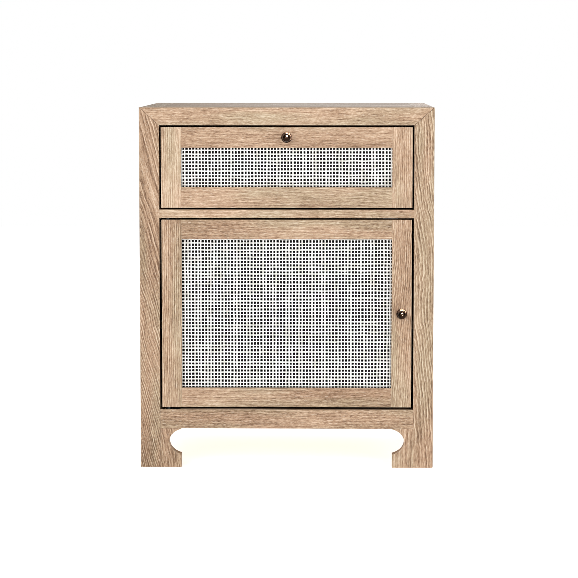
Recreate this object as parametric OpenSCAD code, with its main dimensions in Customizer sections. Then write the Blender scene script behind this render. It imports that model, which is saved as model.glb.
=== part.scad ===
// Nightstand with one drawer above one cupboard door, both fronted with woven cane.
// Millimetres. +X is to the right, +Y to the back and +Z up. The origin is on the floor,
// at the centre of the whole footprint, knobs included.

/* [Case] */
// Overall width of the case
case_w = 560; // [440:1:720]
// Overall depth of the case, without the knobs
case_d = 455; // [360:1:600]
// Overall height of the case
case_h = 690; // [560:1:860]
// Width and depth of each corner post
post_w = 38; // [31:1:50]
// Height of the four top rails
top_rail_h = 34; // [26:1:46]
// Clear height under the aprons
foot_h = 76; // [60:1:110]
// Height of the aprons
apron_h = 37; // [30:1:60]
// Thickness of the aprons and foot brackets
apron_t = 22; // [18:1:28]
// Height of the rail between the drawer and the door
mid_rail_h = 16; // [14:1:30]
// Depth of that rail, front to back
mid_rail_d = 45; // [42:1:70]
// Clear height of the drawer opening
drawer_opening_h = 160; // [130:1:200]

/* [Foot brackets] */
// Width of a foot at the floor, from the outer side of its post
foot_w = 78; // [64:1:110]
// Width of the oval scoop, if it were whole
scoop_w = 66; // [40:1:90]
// Height of the oval scoop
scoop_h = 51; // [40:1:60]
// Distance of the scoop's middle from the outer side of the post
scoop_reach = 88; // [80:1:110]

/* [Joints in the wood] */
// Thickness of the tenons
tenon_t = 8; // [6:1:10]
// Length of the tenons
tenon_l = 18; // [10:1:22]
// Shoulder above and below an apron's tenon
apron_shoulder = 6; // [3:1:8]
// Shoulder above and below the middle rail's tenon
mid_rail_shoulder = 3; // [2:1:5]
// Gap all round a wooden joint, for the glue
fit = 0.2; // [0.1:0.05:0.4]
// How far a panel runs into its groove
groove_d = 8; // [5:1:10]
// Gap between the flush top panel and its frame
top_gap = 0.4; // [0.2:0.1:1.5]
// Gap between a notched panel and the post it goes round
post_gap = 1; // [0.5:0.1:3]

/* [Panels] */
// Thickness of the top panel
top_panel_t = 20; // [18:1:24]
// Thickness of the tongue round the top panel
top_tongue_t = 6; // [4:1:8]
// Depth of that tongue below the top face
top_tongue_drop = 7; // [4:1:9]
// Thickness of the side panels
side_panel_t = 10; // [6:1:12]
// How far the side panels are set in from the outer faces
side_panel_inset = 4; // [1:1:8]
// Thickness of the cupboard floor
bottom_t = 12; // [9:1:14]
// How far the cupboard floor lies below the top of the aprons
bottom_drop = 4; // [2:1:8]
// Thickness of the panel between the drawer and the cupboard
divider_t = 10; // [6:1:11]
// Depth of the side panels' housing for that panel
divider_housing = 3; // [2:1:5]
// Thickness of the back panel
back_t = 6; // [4:1:8]
// How far the back panel laps onto the frame
back_lap = 12; // [8:1:16]

/* [Shelf] */
// Thickness of the shelf
shelf_t = 16; // [12:1:22]
// Clear height between the cupboard floor and the shelf
shelf_rise = 156; // [110:1:180]
// Clearance behind the shelf
shelf_back_gap = 3; // [1:1:10]
// Diameter of a shelf pin
shelf_pin_d = 5; // [4:1:6]
// Depth of the holes for the shelf pins
shelf_hole_depth = 9; // [6:1:12]
// Distance between the pin holes in a row
shelf_hole_pitch = 32; // [25:1:40]
// Length, width and height of the lug that carries the shelf
shelf_lug = [9, 8, 5];

/* [Fronts] */
// Thickness of the drawer front and the door
front_t = 22; // [18:1:26]
// Width of the stiles in both fronts
stile_w = 38; // [32:1:50]
// Height of the drawer front's rails
drawer_rail_h = 39; // [30:1:46]
// Height of the door's rails
door_rail_h = 37; // [30:1:50]
// Gap all round the drawer front
drawer_gap = 3.5; // [2:0.1:5]
// Gap at each side of the door
door_side_gap = 4; // [3.6:0.1:6]
// Gap above the door
door_top_gap = 3.2; // [2:0.1:5]
// Gap below the door
door_bottom_gap = 4.6; // [2:0.1:6]
// Thickness of the wood in front of the cane
cane_lip = 6; // [3:1:8]
// Width of the rebate that holds the cane
rebate_w = 8; // [5:1:10]
// Thickness of the woven cane
cane_t = 3; // [2:0.5:4]
// Thickness of the black board behind the cane
backing_t = 6; // [3:1:8]
// Gap round the cane and its backing in the rebate
cane_gap = 0.3; // [0.1:0.1:1]
// Shoulder of a front rail's tenon
front_shoulder = 5; // [3:1:7]

/* [Drawer box] */
// Thickness of the four boards of the drawer box
box_t = 12; // [10:1:15]
// Clear height above the drawer box in its opening
box_headroom = 38; // [34:1:50]
// Height of the drawer box above the bottom of its opening
box_lift = 12; // [6:1:20]
// Clear depth between the drawer box and the back panel
box_back_gap = 47; // [10:1:80]
// Thickness of the drawer bottom
box_bottom_t = 6; // [4:1:8]
// Height of the drawer bottom above the lower edge of the box
box_bottom_lift = 8; // [5:1:15]
// Depth of the groove for the drawer bottom
box_groove = 5; // [3:1:6]
// Dovetails at each corner of the box
tails = 4; // [2:1:6]
// Width of a dovetail at its shoulder
tail_w = 13; // [8:1:16]
// How much wider a dovetail is at its end
tail_flare = 4; // [2:0.5:6]

/* [Runners] */
// Space that a runner takes beside the drawer box
runner_t = 12.7; // [11:0.1:14]
// Height of the runner
runner_h = 45; // [36:1:50]
// Thickness of the runner's steel
gauge = 1.3; // [1:0.1:1.6]
// How much shorter the runner is than the drawer box
runner_short = 30; // [10:1:80]
// Set-back of the runner behind the drawer front
runner_setback = 3; // [1:1:10]
// Gap between the webs of the case member and the middle member
runner_web_gap = 0.9; // [0.5:0.1:1.2]
// Gap between one member's flange and the next, where the balls run
ball_gap = 3.2; // [2.5:0.1:3.6]
// Clearance of a flange's tip
tip_gap = 1.7; // [0.5:0.1:2]
// Height of the blocks that the case members are screwed to
runner_block_h = 60; // [46:1:80]

/* [Hinges and catch] */
// Distance of the hinge pin from the door's outer edge
pivot_inset = 12; // [10:0.5:14]
// Distance of the hinge pin behind the door's face
pivot_back = 9; // [8:0.5:10]
// Diameter of the hinge pin
pin_d = 6; // [4:0.5:6]
// Running clearance round the hinge pin
pin_play = 0.05; // [0.02:0.01:0.1]
// Width of a hinge leaf
leaf_w = 12; // [10:1:14]
// Length of a hinge leaf beyond its pin
leaf_l = 22; // [14:1:24]
// Thickness of a hinge leaf
leaf_t = 2.5; // [2:0.5:3]
// How far the pin runs past the door's leaf
pin_past = 2; // [1:0.5:4]
// Clearance between the swinging door and the shelf
swing_gap = 1.5; // [1:0.5:5]
// Length, depth and height of the catch
catch_size = [40, 16, 12];
// Length, depth and height of its magnet
magnet_size = [28, 12, 8];
// Distance of the catch from the right-hand post
catch_side = 24; // [10:1:60]
// Length and height of the steel strike on the door
strike_size = [34, 11];
// Thickness of the strike
strike_t = 1.5; // [1:0.5:2]
// Gap between the strike and the magnet
catch_gap = 0.5; // [0.3:0.1:1]

/* [Knobs] */
// How far a knob stands out from its front
knob_reach = 27; // [22:1:36]
// Diameter of the knob's ball
knob_ball_d = 15.5; // [12:0.5:20]
// Diameter of the knob's base
knob_base_d = 20; // [15:0.5:26]
// Thickness of the knob's base
knob_base_t = 2.6; // [1.5:0.1:4]
// Diameter of the knob's neck
knob_neck_d = 8; // [7:0.5:11]

/* [Screws] */
// Diameter of the knobs' screws
knob_screw_d = 4; // [3:0.5:5]
// How far a knob's screw runs into the knob
knob_thread = 12; // [8:1:14]
// Clearance round a screw in metal
thread_play = 0.05; // [0.02:0.01:0.1]
// Diameter of the wood screws
wood_screw_d = 3.5; // [3:0.5:4.5]
// Diameter of the wood screws' heads
wood_screw_head_d = 7; // [6:0.5:8]
// Thickness of a screw's head
screw_head_t = 2; // [1.5:0.1:2.5]
// Diameter of a knob screw's head
knob_screw_head_d = 8; // [7:0.5:10]
// Screws up each side of the back panel
back_screws_up = 3; // [2:1:5]
// Screws along its top and bottom edges
back_screws_across = 3; // [2:1:5]
// Length of the back panel's screws, heads included
back_screw_l = 12; // [10:1:13]
// Length of the drawer front's screws, heads included
front_screw_l = 22; // [18:1:26]
// Distance of those screws from the drawer box's upper and lower edges
front_screw_inset = 22; // [14:1:28]

/* [Hidden] */
$fn = 48;

oak = "burlywood";
plywood = "wheat";
steel = "silver";
black_steel = "black";
bronze = "dimgray";

// How far a cutting shape runs past the face it cuts
past = 1;
// Facets round a whole scoop
scoop_steps = 96;

// Places are worked out in the case's own axes: x from the middle, y back from the front
// face and z up from the floor. in_place() moves them to the part's origin.
half_w = case_w / 2;
opening_w = case_w - 2 * post_w;
half_opening = opening_w / 2;
apron_top = foot_h + apron_h;
top_rail_z = case_h - top_rail_h;
mid_rail_top = top_rail_z - drawer_opening_h;
mid_rail_z = mid_rail_top - mid_rail_h;
apron_tenon_y = (apron_t - tenon_t) / 2;
apron_tenon_z = foot_h + apron_shoulder;
apron_tenon_top = apron_top - groove_d - apron_shoulder;
scoop_z = foot_h - scoop_h / 2;

back_y = case_d - back_t;
side_panel_x = -half_w + side_panel_inset;
side_panel_in = side_panel_x + side_panel_t;
bottom_top = apron_top - bottom_drop;
divider_z = mid_rail_z + (mid_rail_h - divider_t) / 2;
tongue_top = case_h - top_tongue_drop;

drawer_w = opening_w - 2 * drawer_gap;
drawer_low = mid_rail_top + drawer_gap;
drawer_high = top_rail_z - drawer_gap;
door_w = opening_w - 2 * door_side_gap;
door_low = apron_top + door_bottom_gap;
door_high = mid_rail_z - door_top_gap;
front_tenon_y = (front_t - tenon_t) / 2;
backing_y = cane_lip + cane_t;

box_w = opening_w - 2 * runner_t;
box_d = back_y - box_back_gap - front_t;
box_end = front_t + box_d;
box_z = mid_rail_top + box_lift;
box_top = top_rail_z - box_headroom;
box_h = box_top - box_z;
runner_z = box_z + box_h / 2;
runner_y = front_t + runner_setback;
runner_end = runner_y + box_d - runner_short;
middle_runner_h = runner_h - 2 * (gauge + ball_gap);
drawer_runner_h = middle_runner_h - 2 * (gauge + ball_gap);
case_runner_x = -half_opening;
middle_runner_x = case_runner_x + gauge + runner_web_gap;
drawer_runner_x = case_runner_x + runner_t;

pivot_x = -door_w / 2 + pivot_inset;
door_sweep = pivot_back + norm([pivot_inset, front_t - pivot_back]);
shelf_y = door_sweep + swing_gap;
shelf_end = back_y - shelf_back_gap;
shelf_z = bottom_top + shelf_rise;
shelf_lug_l = shelf_lug[0];
shelf_lug_w = shelf_lug[1];
shelf_lug_h = shelf_lug[2];
front_lug_y = min(shelf_y + shelf_lug_w / 2, post_w - shelf_lug_w / 2);
rear_lug_y = case_d - post_w + shelf_lug_w / 2;

drawer_knob_at = [0, drawer_high - drawer_rail_h / 2];
door_knob_at = [door_w / 2 - stile_w / 2, (door_low + door_high) / 2];

catch_x = half_opening - catch_side - catch_size[0];
catch_y = front_t + strike_t + catch_gap;
catch_mid = catch_x + catch_size[0] / 2;

back_screw_x = half_opening + back_lap / 2;
back_screw_low = apron_top - back_lap / 2;
back_screw_high = top_rail_z + back_lap / 2;
// Where the back panel's screws go: [x, z], in the four edges of the panel
back_screw_step = (back_screw_high - back_screw_low) / (back_screws_up + 1);
back_screw_places = concat(
    [for (side = [-1, 1], count = [1 : back_screws_up])
        [side * back_screw_x, back_screw_low + count * back_screw_step]],
    [for (z = [back_screw_low, back_screw_high], count = [1 : back_screws_across])
        [-half_opening + count * opening_w / (back_screws_across + 1), z]]
);
// Where the drawer front's screws go: [x, z], beside the cane's rebate
front_screw_x = (drawer_w / 2 - stile_w + rebate_w + box_w / 2 - box_t) / 2;
front_screw_places = [for (side = [-1, 1], z = [box_z + front_screw_inset, box_top - front_screw_inset])
    [side * front_screw_x, z]];

module in_place() {
    translate([0, (knob_reach - case_d) / 2, 0])
        children();
}

// A box between two opposite corners
module block(low, high) {
    translate(low)
        cube(high - low);
}

// The right-hand twin of a left-hand shape
module right_hand() {
    mirror([1, 0, 0])
        children();
}

// The rear twin of a shape at the front
module at_rear() {
    translate([0, case_d, 0])
        mirror([0, 1, 0])
            children();
}

// ---- Case frame -------------------------------------------------------------------

// A slanted cutter across a corner, on the line from [0, 0] to [run, -drop]. It takes
// away what is above the line, or what is below it, and runs past both ends of the line.
module mitre_cutter(run, drop, above, length) {
    linear_extrude(length)
        polygon([[-run, drop], [2 * run, -2 * drop], above ? [2 * run, drop] : [-run, -2 * drop]]);
}

// Takes the front rail's share out of the post, or the post's share out of the rail
module front_mitre(above) {
    translate([-half_w, post_w + past, case_h])
        rotate([90, 0, 0])
            mitre_cutter(post_w, top_rail_h, above, post_w + 2 * past);
}

// The same between the post and the side rail
module side_mitre(above) {
    translate([-half_w - past, 0, case_h])
        rotate([90, 0, 90])
            mitre_cutter(post_w, top_rail_h, above, post_w + 2 * past);
}

// The upright mitre between the front rail and the side rail: the cutter takes the side
// rail's share, or the front rail's
module rail_mitre(side_share) {
    far = post_w + past;
    translate([-half_w, 0, top_rail_z - past])
        linear_extrude(top_rail_h + 2 * past)
            polygon([[-past, -past], [far, far], side_share ? [-past, far] : [far, -past]]);
}

module post_blank() {
    difference() {
        block([-half_w, 0, 0], [-half_opening, post_w, case_h]);
        front_mitre(above = true);
        side_mitre(above = true);
    }
}

// The bars that make the tenons at both ends of a rail, and with grow their mortises
module apron_tenons(grow = 0) {
    reach = half_opening + tenon_l + grow;
    block([-reach, apron_tenon_y - grow, apron_tenon_z - grow],
          [reach, apron_tenon_y + tenon_t + grow, apron_tenon_top + grow]);
}

module side_apron_tenons(grow = 0) {
    tenon_x = -half_w + apron_tenon_y;
    block([tenon_x - grow, post_w - tenon_l - grow, apron_tenon_z - grow],
          [tenon_x + tenon_t + grow, case_d - post_w + tenon_l + grow, apron_tenon_top + grow]);
}

module mid_rail_tenons(grow = 0) {
    reach = half_opening + tenon_l + grow;
    block([-reach, front_tenon_y - grow, mid_rail_z + mid_rail_shoulder - grow],
          [reach, front_tenon_y + tenon_t + grow, mid_rail_top - mid_rail_shoulder + grow]);
}

// The panels' plates, which with grow are their grooves
module side_panel_plate(grow = 0) {
    block([side_panel_x - grow, post_w - groove_d - grow, apron_top - groove_d - grow],
          [side_panel_in + grow, case_d - post_w + groove_d + grow,
           top_rail_z + groove_d + grow]);
}

module top_tongue(grow = 0) {
    reach = half_opening + groove_d + grow;
    block([-reach, post_w - groove_d - grow, tongue_top - top_tongue_t - grow],
          [reach, case_d - post_w + groove_d + grow, tongue_top + grow]);
}

module back_plate(grow = 0) {
    reach = half_opening + back_lap + grow;
    block([-reach, back_y - grow, apron_top - back_lap - grow],
          [reach, case_d + (grow > 0 ? past : 0), top_rail_z + back_lap + grow]);
}

module post_squares(gap) {
    for (side = [-1, 1], y = [-past, case_d - post_w - gap])
        translate([side * (half_w + past) - (side > 0 ? post_w + gap + past : 0), y, -past])
            cube([post_w + gap + past, post_w + gap + past, case_h + 2 * past]);
}

module bottom_plate(grow = 0) {
    reach = half_w - apron_t + groove_d + grow;
    difference() {
        block([-reach, apron_t - groove_d - grow, bottom_top - bottom_t - grow],
              [reach, case_d - apron_t + groove_d + grow, bottom_top + grow]);
        post_squares(post_gap - grow);
    }
}

module divider_plate(grow = 0) {
    reach = -side_panel_in + divider_housing + grow;
    difference() {
        block([-reach, mid_rail_d - groove_d - grow, divider_z - grow],
              [reach, back_y - post_gap, divider_z + divider_t + grow]);
        post_squares(post_gap - grow);
    }
}

// A pin's axis runs along X, out of the post's inner face
module shelf_pin_hole(y, z, grow) {
    translate([-half_opening - shelf_hole_depth, y, z])
        rotate([0, 90, 0])
            cylinder(d = shelf_pin_d + 2 * grow, h = shelf_hole_depth + past);
}

module shelf_holes(y) {
    pin_z = shelf_z - shelf_lug_h / 2;
    for (step = [-1, 0, 1])
        shelf_pin_hole(y, pin_z + step * shelf_hole_pitch, thread_play);
}

module front_post() {
    color(oak)
        in_place()
            difference() {
                post_blank();
                side_panel_plate(fit);
                apron_tenons(fit);
                side_apron_tenons(fit);
                mid_rail_tenons(fit);
                top_tongue(fit);
                shelf_holes(front_lug_y);
            }
}

module rear_post() {
    color(oak)
        in_place()
            difference() {
                at_rear()
                    post_blank();
                side_panel_plate(fit);
                at_rear()
                    apron_tenons(fit);
                side_apron_tenons(fit);
                back_plate(fit);
                back_screws(0);
                top_tongue(fit);
                shelf_holes(rear_lug_y);
            }
}

module post_front_left() {
    front_post();
}

module post_front_right() {
    right_hand()
        front_post();
}

module post_rear_left() {
    rear_post();
}

module post_rear_right() {
    right_hand()
        rear_post();
}

module front_rail_blank() {
    difference() {
        block([-half_w, 0, top_rail_z], [half_w, post_w, case_h]);
        front_mitre(above = false);
        rail_mitre(side_share = true);
        right_hand() {
            front_mitre(above = false);
            rail_mitre(side_share = true);
        }
        top_tongue(fit);
    }
}

module side_rail_blank() {
    difference() {
        block([-half_w, 0, top_rail_z], [-half_opening, case_d, case_h]);
        side_mitre(above = false);
        rail_mitre(side_share = false);
        at_rear() {
            side_mitre(above = false);
            rail_mitre(side_share = false);
        }
        top_tongue(fit);
        side_panel_plate(fit);
    }
}

module top_rail_front() {
    color(oak)
        in_place()
            front_rail_blank();
}

module top_rail_rear() {
    color(oak)
        in_place()
            difference() {
                at_rear()
                    front_rail_blank();
                back_plate(fit);
                back_screws(0);
            }
}

module top_rail_left() {
    color(oak)
        in_place()
            side_rail_blank();
}

module top_rail_right() {
    color(oak)
        in_place()
            right_hand()
                side_rail_blank();
}

module top_panel() {
    reach = half_opening - top_gap;
    color(oak)
        in_place() {
            block([-reach, post_w + top_gap, case_h - top_panel_t],
                  [reach, case_d - post_w - top_gap, case_h]);
            top_tongue();
        }
}

module side_panel() {
    color(oak)
        in_place()
            difference() {
                side_panel_plate();
                divider_plate(fit);
            }
}

module side_panel_left() {
    side_panel();
}

module side_panel_right() {
    right_hand()
        side_panel();
}

// An apron across the front, with its tenons and the groove for the cupboard floor
module cross_apron() {
    difference() {
        union() {
            block([-half_opening, 0, foot_h], [half_opening, apron_t, apron_top]);
            apron_tenons();
        }
        bottom_plate(fit);
    }
}

module apron_front() {
    color(oak)
        in_place()
            difference() {
                cross_apron();
                lower_leaf(fit);
            }
}

module apron_rear() {
    color(oak)
        in_place()
            difference() {
                at_rear()
                    cross_apron();
                back_plate(fit);
                back_screws(0);
            }
}

module side_apron() {
    color(oak)
        in_place()
            difference() {
                union() {
                    block([-half_w, post_w, foot_h],
                          [-half_w + apron_t, case_d - post_w, apron_top]);
                    side_apron_tenons();
                }
                bottom_plate(fit);
                side_panel_plate(fit);
            }
}

module apron_left() {
    side_apron();
}

module apron_right() {
    right_hand()
        side_apron();
}

// A bracket's outline, with x from the outer side of the post. Its oval scoop rises to
// the apron's lower edge and leaves a pointed foot.
module bracket_outline() {
    difference() {
        translate([post_w, 0])
            square([foot_w - post_w, foot_h]);
        translate([scoop_reach, scoop_z])
            polygon([for (step = [1 : scoop_steps])
                [scoop_w / 2 * cos(step * 360 / scoop_steps),
                 scoop_h / 2 * sin(step * 360 / scoop_steps)]]);
    }
}

module front_bracket() {
    color(oak)
        in_place()
            translate([-half_w, apron_t, 0])
                rotate([90, 0, 0])
                    linear_extrude(apron_t)
                        bracket_outline();
}

module side_bracket() {
    translate([-half_w, 0, 0])
        rotate([90, 0, 90])
            linear_extrude(apron_t)
                bracket_outline();
}

module side_brackets() {
    color(oak)
        in_place() {
            side_bracket();
            at_rear()
                side_bracket();
        }
}

module foot_bracket_front_left() {
    front_bracket();
}

module foot_bracket_front_right() {
    right_hand()
        front_bracket();
}

module foot_brackets_left() {
    side_brackets();
}

module foot_brackets_right() {
    right_hand()
        side_brackets();
}

module mid_rail() {
    color(oak)
        in_place()
            difference() {
                union() {
                    block([-half_opening, 0, mid_rail_z],
                          [half_opening, mid_rail_d, mid_rail_top]);
                    mid_rail_tenons();
                }
                post_squares(0);
                divider_plate(fit);
                upper_leaf(fit);
            }
}

// ---- Panels inside ----------------------------------------------------------------

module divider_panel() {
    color(plywood)
        in_place()
            divider_plate();
}

module bottom_panel() {
    color(plywood)
        in_place()
            bottom_plate();
}

// A screw that points forward from the back, with its head flush at y
module wood_screw(at, y, length, grow) {
    translate([at[0], y, at[1]])
        rotate([90, 0, 0]) {
            cylinder(d = wood_screw_d + 2 * grow, h = length + grow);
            translate([0, 0, grow > 0 ? -past : 0])
                cylinder(d = wood_screw_head_d + 2 * grow, h = screw_head_t + (grow > 0 ? past : 0));
        }
}

module back_screws(grow) {
    for (at = back_screw_places)
        wood_screw(at, case_d, back_screw_l, grow);
}

module back_panel() {
    color(plywood)
        in_place()
            difference() {
                back_plate();
                back_screws(thread_play);
            }
}

module back_panel_screws() {
    color(steel)
        in_place()
            back_screws(0);
}

module shelf() {
    reach = -side_panel_in - post_gap;
    color(oak)
        in_place()
            difference() {
                block([-reach, shelf_y, shelf_z], [reach, shelf_end, shelf_z + shelf_t]);
                post_squares(post_gap);
            }
}

// A pin with a flat lug under the shelf
module shelf_pin(y) {
    pin_z = shelf_z - shelf_lug_h / 2;
    shelf_pin_body(y, pin_z);
    block([-half_opening, y - shelf_lug_w / 2, shelf_z - shelf_lug_h],
          [-half_opening + shelf_lug_l, y + shelf_lug_w / 2, shelf_z]);
}

module shelf_pin_body(y, z) {
    translate([-half_opening - shelf_hole_depth + thread_play, y, z])
        rotate([0, 90, 0])
            cylinder(d = shelf_pin_d, h = shelf_hole_depth + past);
}

module shelf_pins() {
    color(steel)
        in_place()
            for (y = [front_lug_y, rear_lug_y]) {
                shelf_pin(y);
                right_hand()
                    shelf_pin(y);
            }
}

// ---- Drawer runners ---------------------------------------------------------------

module runner_block() {
    block([side_panel_in + fit, post_w + fit, runner_z - runner_block_h / 2],
          [-half_opening, case_d - post_w - fit, runner_z + runner_block_h / 2]);
}

module runner_blocks() {
    color(plywood)
        in_place() {
            runner_block();
            right_hand()
                runner_block();
        }
}

// A steel channel along the drawer, with the outside of its web at web_x and the tips of
// its flanges at tip_x
module channel(web_x, tip_x, height) {
    way = tip_x > web_x ? 1 : -1;
    web_in = web_x + way * gauge;
    open_x = tip_x + way;
    color(black_steel)
        in_place()
            difference() {
                block([min(web_x, tip_x), runner_y, runner_z - height / 2],
                      [max(web_x, tip_x), runner_end, runner_z + height / 2]);
                block([min(web_in, open_x), runner_y - past, runner_z - height / 2 + gauge],
                      [max(web_in, open_x), runner_end + past, runner_z + height / 2 - gauge]);
            }
}

module case_runner() {
    channel(case_runner_x, drawer_runner_x - tip_gap, runner_h);
}

module middle_runner() {
    channel(middle_runner_x, drawer_runner_x - tip_gap, middle_runner_h);
}

module drawer_runner() {
    channel(drawer_runner_x, middle_runner_x + gauge + tip_gap, drawer_runner_h);
}

module case_runner_left() {
    case_runner();
}

module case_runner_right() {
    right_hand()
        case_runner();
}

module middle_runner_left() {
    middle_runner();
}

module middle_runner_right() {
    right_hand()
        middle_runner();
}

module drawer_runner_left() {
    drawer_runner();
}

module drawer_runner_right() {
    right_hand()
        drawer_runner();
}

// ---- Framed fronts ----------------------------------------------------------------

// A front is a frame of width w between the heights low and high. Its stiles run its
// whole height and its rails, rail_h high, are tenoned between them.

// The space behind the lip that the cane and its backing fill
module cane_rebate(w, low, high, rail_h) {
    reach = w / 2 - stile_w + rebate_w;
    block([-reach, cane_lip, low + rail_h - rebate_w],
          [reach, front_t + past, high - rail_h + rebate_w]);
}

// A board in the rebate, from y_low to y_high
module rebate_board(w, low, high, rail_h, y_low, y_high) {
    reach = w / 2 - stile_w + rebate_w - cane_gap;
    in_place()
        block([-reach, y_low, low + rail_h - rebate_w + cane_gap],
              [reach, y_high, high - rail_h + rebate_w - cane_gap]);
}

module rail_tenons(w, low, high, grow = 0) {
    reach = w / 2 - stile_w + tenon_l + grow;
    block([-reach, front_tenon_y - grow, low - grow],
          [reach, front_tenon_y + tenon_t + grow, high + grow]);
}

module low_rail_tenons(w, low, rail_h, grow = 0) {
    rail_tenons(w, low + front_shoulder, low + rail_h - rebate_w - front_shoulder, grow);
}

module high_rail_tenons(w, high, rail_h, grow = 0) {
    rail_tenons(w, high - rail_h + rebate_w + front_shoulder, high - front_shoulder, grow);
}

module front_stile(w, low, high, rail_h) {
    difference() {
        block([-w / 2, 0, low], [-w / 2 + stile_w, front_t, high]);
        cane_rebate(w, low, high, rail_h);
        low_rail_tenons(w, low, rail_h, fit);
        high_rail_tenons(w, high, rail_h, fit);
    }
}

module low_rail(w, low, high, rail_h) {
    reach = w / 2 - stile_w;
    difference() {
        union() {
            block([-reach, 0, low], [reach, front_t, low + rail_h]);
            low_rail_tenons(w, low, rail_h);
        }
        cane_rebate(w, low, high, rail_h);
    }
}

module high_rail(w, low, high, rail_h) {
    reach = w / 2 - stile_w;
    difference() {
        union() {
            block([-reach, 0, high - rail_h], [reach, front_t, high]);
            high_rail_tenons(w, high, rail_h);
        }
        cane_rebate(w, low, high, rail_h);
    }
}

// ---- Drawer -----------------------------------------------------------------------

module drawer_stile_left() {
    color(oak)
        in_place()
            difference() {
                front_stile(drawer_w, drawer_low, drawer_high, drawer_rail_h);
                front_screws(0);
            }
}

module drawer_stile_right() {
    right_hand()
        drawer_stile_left();
}

module drawer_rail_top() {
    color(oak)
        in_place()
            difference() {
                high_rail(drawer_w, drawer_low, drawer_high, drawer_rail_h);
                knob_shank(drawer_knob_at, fit);
            }
}

module drawer_rail_bottom() {
    color(oak)
        in_place()
            low_rail(drawer_w, drawer_low, drawer_high, drawer_rail_h);
}

module drawer_cane() {
    color("ivory")
        rebate_board(drawer_w, drawer_low, drawer_high, drawer_rail_h, cane_lip, backing_y);
}

module drawer_cane_backing() {
    color("black")
        rebate_board(drawer_w, drawer_low, drawer_high, drawer_rail_h, backing_y,
                     backing_y + backing_t);
}

// The drawer bottom, which with grow is its groove in the four boards
module drawer_bottom_plate(grow = 0) {
    reach = box_w / 2 - box_t + box_groove + grow;
    low = box_z + box_bottom_lift;
    block([-reach, front_t + box_t - box_groove - grow, low - grow],
          [reach, box_end - box_t + box_groove + grow, low + box_bottom_t + grow]);
}

// The dovetails at the front end of the left-hand board
module dovetails(grow = 0) {
    pitch = box_h / tails;
    shoulder = box_t + past;
    narrow = tail_w / 2 + grow - past * tail_flare / 2 / box_t;
    wide = (tail_w + tail_flare) / 2 + grow;
    for (tail = [0 : tails - 1])
        translate([-box_w / 2 - grow, front_t, box_z + (tail + 0.5) * pitch])
            rotate([90, 0, 90])
                linear_extrude(box_t + 2 * grow)
                    polygon([[0, -wide], [shoulder, -narrow], [shoulder, narrow], [0, wide]]);
}

// The same at the rear end
module rear_dovetails(grow = 0) {
    translate([0, 2 * front_t + box_d, 0])
        mirror([0, 1, 0])
            dovetails(grow);
}

module box_side() {
    color(plywood)
        in_place()
            difference() {
                union() {
                    block([-box_w / 2, front_t + box_t, box_z],
                          [-box_w / 2 + box_t, box_end - box_t, box_top]);
                    dovetails();
                    rear_dovetails();
                }
                drawer_bottom_plate(fit);
            }
}

module drawer_box_left() {
    box_side();
}

module drawer_box_right() {
    right_hand()
        box_side();
}

module drawer_box_front() {
    color(plywood)
        in_place()
            difference() {
                block([-box_w / 2, front_t, box_z], [box_w / 2, front_t + box_t, box_top]);
                dovetails(fit);
                right_hand()
                    dovetails(fit);
                drawer_bottom_plate(fit);
                front_screws(thread_play);
            }
}

module drawer_box_back() {
    color(plywood)
        in_place()
            difference() {
                block([-box_w / 2, box_end - box_t, box_z], [box_w / 2, box_end, box_top]);
                rear_dovetails(fit);
                right_hand()
                    rear_dovetails(fit);
                drawer_bottom_plate(fit);
            }
}

module drawer_bottom() {
    color(plywood)
        in_place()
            drawer_bottom_plate();
}

module front_screws(grow) {
    for (at = front_screw_places)
        wood_screw(at, front_t + box_t, front_screw_l, grow);
}

module drawer_front_screws() {
    color(steel)
        in_place()
            front_screws(0);
}

// ---- Knobs ------------------------------------------------------------------------

// The shank of a knob's screw, from the back of its front into the knob
module knob_shank(at, grow) {
    translate([at[0], front_t + (grow > 0 ? past : 0), at[1]])
        rotate([90, 0, 0])
            cylinder(d = knob_screw_d + 2 * grow, h = front_t + knob_thread + (grow > 0 ? past : 0));
}

module knob(at) {
    color(bronze)
        in_place()
            difference() {
                translate([at[0], 0, at[1]])
                    rotate([90, 0, 0]) {
                        cylinder(d = knob_base_d, h = knob_base_t);
                        cylinder(d = knob_neck_d, h = knob_reach - knob_ball_d / 2);
                        translate([0, 0, knob_reach - knob_ball_d / 2])
                            sphere(d = knob_ball_d);
                    }
                knob_shank(at, thread_play);
            }
}

module knob_screw(at) {
    color(steel)
        in_place() {
            knob_shank(at, 0);
            translate([at[0], front_t + screw_head_t, at[1]])
                rotate([90, 0, 0])
                    cylinder(d = knob_screw_head_d, h = screw_head_t);
        }
}

module drawer_knob() {
    knob(drawer_knob_at);
}

module drawer_knob_screw() {
    knob_screw(drawer_knob_at);
}

module door_knob() {
    knob(door_knob_at);
}

module door_knob_screw() {
    knob_screw(door_knob_at);
}

// ---- Door -------------------------------------------------------------------------

module door_stile() {
    front_stile(door_w, door_low, door_high, door_rail_h);
}

module door_stile_left() {
    color(oak)
        in_place()
            difference() {
                door_stile();
                door_leaf(door_low, fit);
                door_leaf(door_high - leaf_t, fit);
                hinge_pins(fit);
            }
}

module door_stile_right() {
    color(oak)
        in_place()
            difference() {
                right_hand()
                    door_stile();
                knob_shank(door_knob_at, fit);
            }
}

module door_rail_top() {
    color(oak)
        in_place()
            high_rail(door_w, door_low, door_high, door_rail_h);
}

module door_rail_bottom() {
    color(oak)
        in_place()
            low_rail(door_w, door_low, door_high, door_rail_h);
}

module door_cane() {
    color("ivory")
        rebate_board(door_w, door_low, door_high, door_rail_h, cane_lip, backing_y);
}

module door_cane_backing() {
    color("black")
        rebate_board(door_w, door_low, door_high, door_rail_h, backing_y,
                     backing_y + backing_t);
}

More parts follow.
